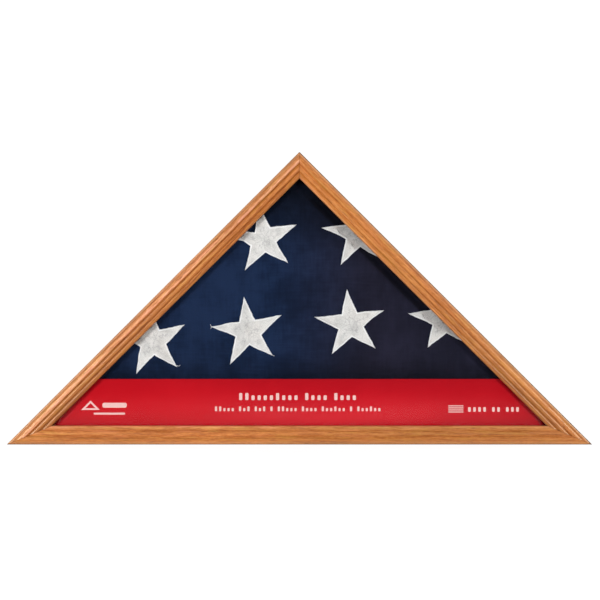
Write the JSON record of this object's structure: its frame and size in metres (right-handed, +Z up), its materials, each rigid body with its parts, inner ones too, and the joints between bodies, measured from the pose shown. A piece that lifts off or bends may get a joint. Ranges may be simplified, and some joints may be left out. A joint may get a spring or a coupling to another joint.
{
  "type": "folded flag display case",
  "caption": "Triangular oak shadow box with a mitred, reeded face frame, glass front, printed foot card, folded flag and a lift-out back held by turn buttons.",
  "frame": {"origin": "the middle of the underside of the base, halfway through the overall depth", "axes": "+X along the base to the right as seen from the front, +Y from the glass front to the back, +Z up to the apex"},
  "size_m": [0.66, 0.0892, 0.33],
  "materials": {
    "oak_moulding": "stained oak under satin lacquer",
    "oak_board": "stained oak under satin lacquer",
    "clear_glass": "clear float glass",
    "red_card": "printed card, smooth",
    "stop_wood": "sanded and stained",
    "navy_cloth": "woven cloth, matt",
    "star_cloth": "embroidered, slight sheen",
    "hardboard": "tempered hardboard, smooth back",
    "zinc_steel": "zinc plated",
    "button_brass": "brass plated",
    "bright_steel": "bright drawn wire"
  },
  "bodies": {
    "case": {"face_moulding_base": "oak_moulding", "face_moulding_right": "oak_moulding", "face_moulding_left": "oak_moulding", "box_board_base": "oak_board", "box_board_right": "oak_board", "box_board_left": "oak_board", "glass_pane": "clear_glass", "printed_card": "red_card", "glass_stop_base": "stop_wood", "glass_stop_right": "stop_wood", "glass_stop_left": "stop_wood", "folded_flag": "navy_cloth", "flag_stars": "star_cloth", "turn_button_screws": "zinc_steel", "corner_v_nails": "bright_steel", "corner_brads": "bright_steel", "stop_brads": "bright_steel"},
    "back": {"back_panel": "hardboard", "sawtooth_hanger": "zinc_steel", "hanger_nails": "zinc_steel"},
    "button_base_left": {"turn_button_base_left": "button_brass"},
    "button_base_right": {"turn_button_base_right": "button_brass"},
    "button_right_lower": {"turn_button_right_lower": "button_brass"},
    "button_right_upper": {"turn_button_right_upper": "button_brass"},
    "button_left_upper": {"turn_button_left_upper": "button_brass"},
    "button_left_lower": {"turn_button_left_lower": "button_brass"}
  },
  "joints": [
    {"name": "back_lift_off", "type": "slide", "parent": "case", "child": "back", "axis": [0, 1, 0], "range_m": [0, 0.12]},
    {"name": "turn_base_left", "type": "hinge", "parent": "case", "child": "button_base_left", "pos_m": [-0.165, 0.04205, 0.0045], "axis": [0, -1, 0], "continuous": true},
    {"name": "turn_base_right", "type": "hinge", "parent": "case", "child": "button_base_right", "pos_m": [0.165, 0.04205, 0.0045], "axis": [0, 1, 0], "continuous": true},
    {"name": "turn_right_lower", "type": "hinge", "parent": "case", "child": "button_right_lower", "pos_m": [0.2396, 0.04205, 0.08404], "axis": [0, -1, 0], "continuous": true},
    {"name": "turn_right_upper", "type": "hinge", "parent": "case", "child": "button_right_upper", "pos_m": [0.08404, 0.04205, 0.2396], "axis": [0, 1, 0], "continuous": true},
    {"name": "turn_left_upper", "type": "hinge", "parent": "case", "child": "button_left_upper", "pos_m": [-0.08404, 0.04205, 0.2396], "axis": [0, -1, 0], "continuous": true},
    {"name": "turn_left_lower", "type": "hinge", "parent": "case", "child": "button_left_lower", "pos_m": [-0.2396, 0.04205, 0.08404], "axis": [0, 1, 0], "continuous": true}
  ]
}
